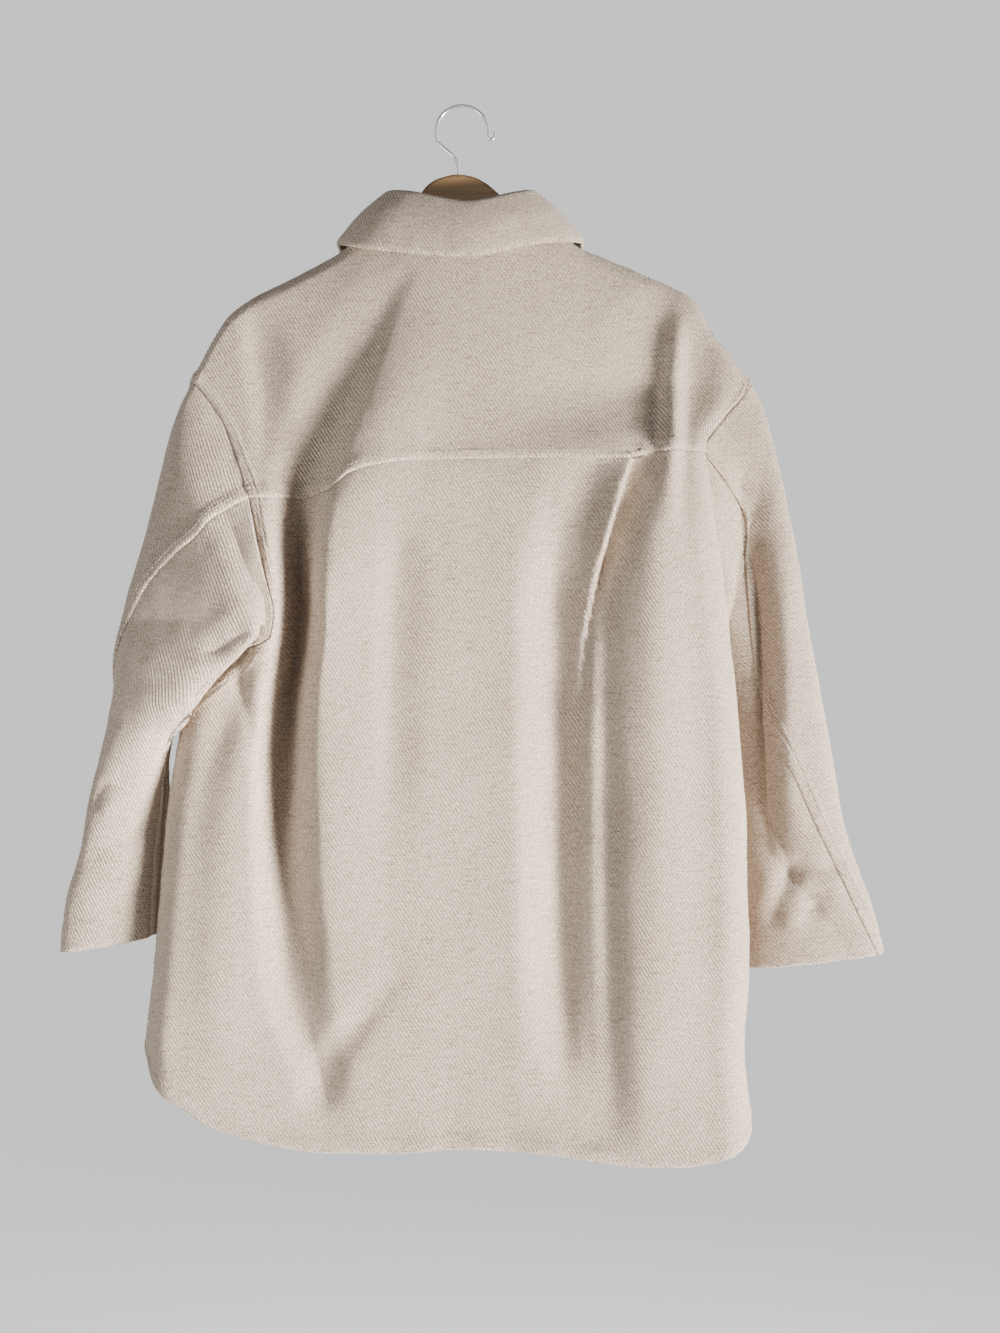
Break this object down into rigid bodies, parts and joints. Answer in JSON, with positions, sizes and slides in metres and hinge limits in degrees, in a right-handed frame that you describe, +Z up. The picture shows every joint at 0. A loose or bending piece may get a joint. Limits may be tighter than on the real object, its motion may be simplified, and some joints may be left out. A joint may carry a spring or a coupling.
{
  "type": "wool shacket on a wooden hanger with a metal hook",
  "caption": "Wool-twill shacket with a shirt collar, back yoke, dropped two-piece sleeves and curved hem, hanging closed from a flat wooden hanger by its hook.",
  "frame": {"origin": "inside top of the hanger's hook, where it rests on a rail or peg", "axes": "+Z up, +X towards the wearer's right, +Y from the garment's back to its front"},
  "size_m": [0.7518, 0.1095, 0.9606],
  "materials": {
    "wool_twill": "brushed oatmeal wool twill",
    "horn_button": "satin brown",
    "beech": "clear satin varnish",
    "polished_steel": "polished"
  },
  "bodies": {
    "root": {"back": "wool_twill", "back_yoke": "wool_twill", "front_left": "wool_twill", "front_right": "wool_twill", "sleeve_left_upper": "wool_twill", "sleeve_left_under": "wool_twill", "sleeve_right_upper": "wool_twill", "sleeve_right_under": "wool_twill", "collar_stand": "wool_twill", "collar_leaf": "wool_twill", "button_1": "horn_button", "button_2": "horn_button", "button_3": "horn_button", "button_4": "horn_button", "button_5": "horn_button", "button_6": "horn_button", "hanger_wood": "beech", "hanger_hook": "polished_steel"}
  },
  "joints": []
}
